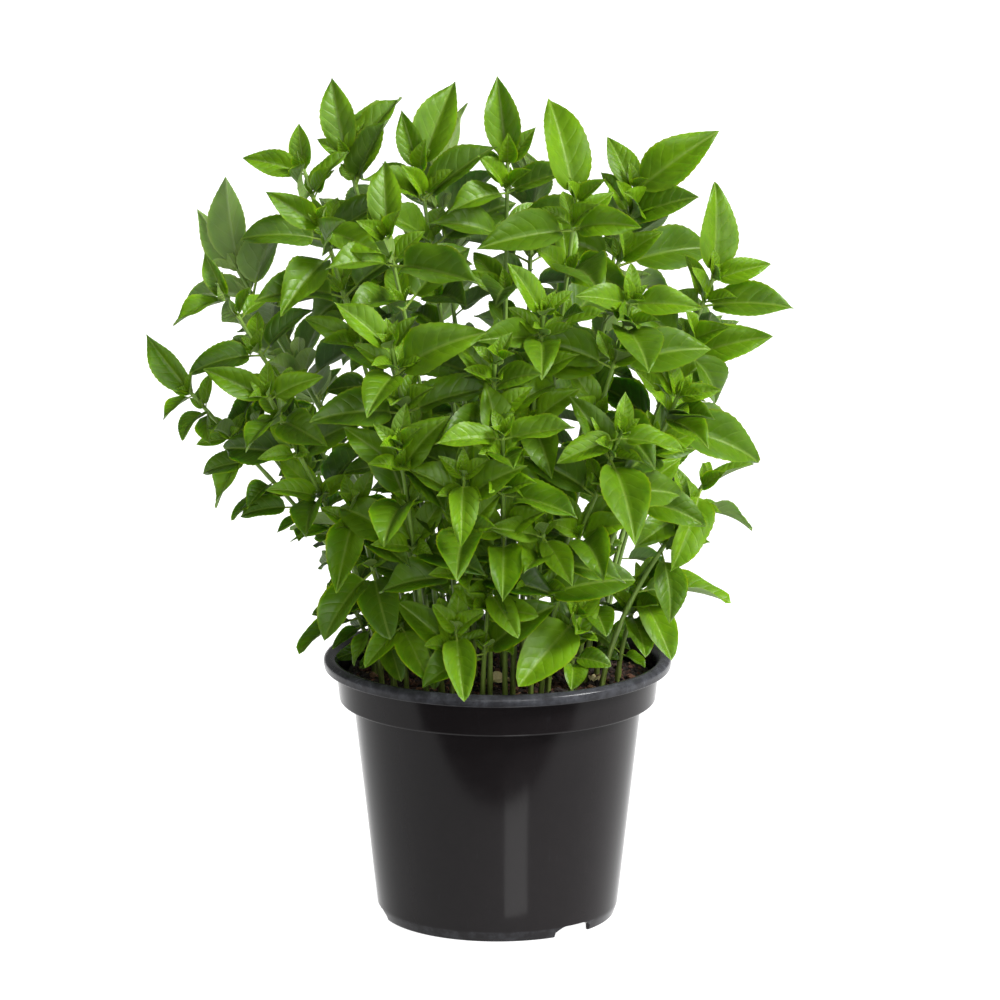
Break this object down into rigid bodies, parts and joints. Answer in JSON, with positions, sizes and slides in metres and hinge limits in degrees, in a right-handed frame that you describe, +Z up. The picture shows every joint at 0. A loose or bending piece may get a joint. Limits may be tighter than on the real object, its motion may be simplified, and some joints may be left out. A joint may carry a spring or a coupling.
{
  "type": "potted basil plant",
  "caption": "Bushy basil plant with ovate leaves in opposite pairs on square stems, growing in a round black nursery pot filled with potting soil.",
  "frame": {"origin": "centre of the pot's base, on the surface that it stands on", "axes": "+Z up along the pot's axis, -Y towards the viewer of the picture, +X to the viewer's right"},
  "size_m": [0.2562, 0.2308, 0.338],
  "materials": {
    "pot_plastic": "injection-moulded polypropylene, satin, lightly scuffed at the rim",
    "potting_soil": "moist peat and bark crumbs, dull",
    "basil": "fresh leaf, satin upper side and dull grey-green underside",
    "dry_leaf": "dried leaf, papery"
  },
  "bodies": {
    "root": {"dry_leaf_1": "dry_leaf", "dry_leaf_2": "dry_leaf", "dry_leaf_3": "dry_leaf", "pot": "pot_plastic", "soil": "potting_soil", "stem_back_eight": "basil", "stem_back_five": "basil", "stem_back_four": "basil", "stem_back_one": "basil", "stem_back_seven": "basil", "stem_back_six": "basil", "stem_back_three": "basil", "stem_back_two": "basil", "stem_far_left": "basil", "stem_fill_left": "basil", "stem_front_high": "basil", "stem_front_inner": "basil", "stem_front_left": "basil", "stem_front_low": "basil", "stem_front_mid": "basil", "stem_front_one": "basil", "stem_heart_left": "basil", "stem_left_back": "basil", "stem_left_edge": "basil", "stem_left_face": "basil", "stem_left_hang": "basil", "stem_left_low": "basil", "stem_left_wing": "basil", "stem_low_mid": "basil", "stem_low_right": "basil", "stem_mid_left": "basil", "stem_mid_right": "basil", "stem_right_back": "basil", "stem_right_edge": "basil", "stem_right_face": "basil", "stem_right_low": "basil", "stem_right_top": "basil", "stem_right_wing": "basil", "stem_rim_front": "basil", "stem_rim_left": "basil", "stem_rim_right": "basil", "stem_top_left": "basil", "stem_top_mid": "basil", "stem_top_right": "basil", "stem_top_three": "basil", "stem_top_two": "basil"}
  },
  "joints": []
}
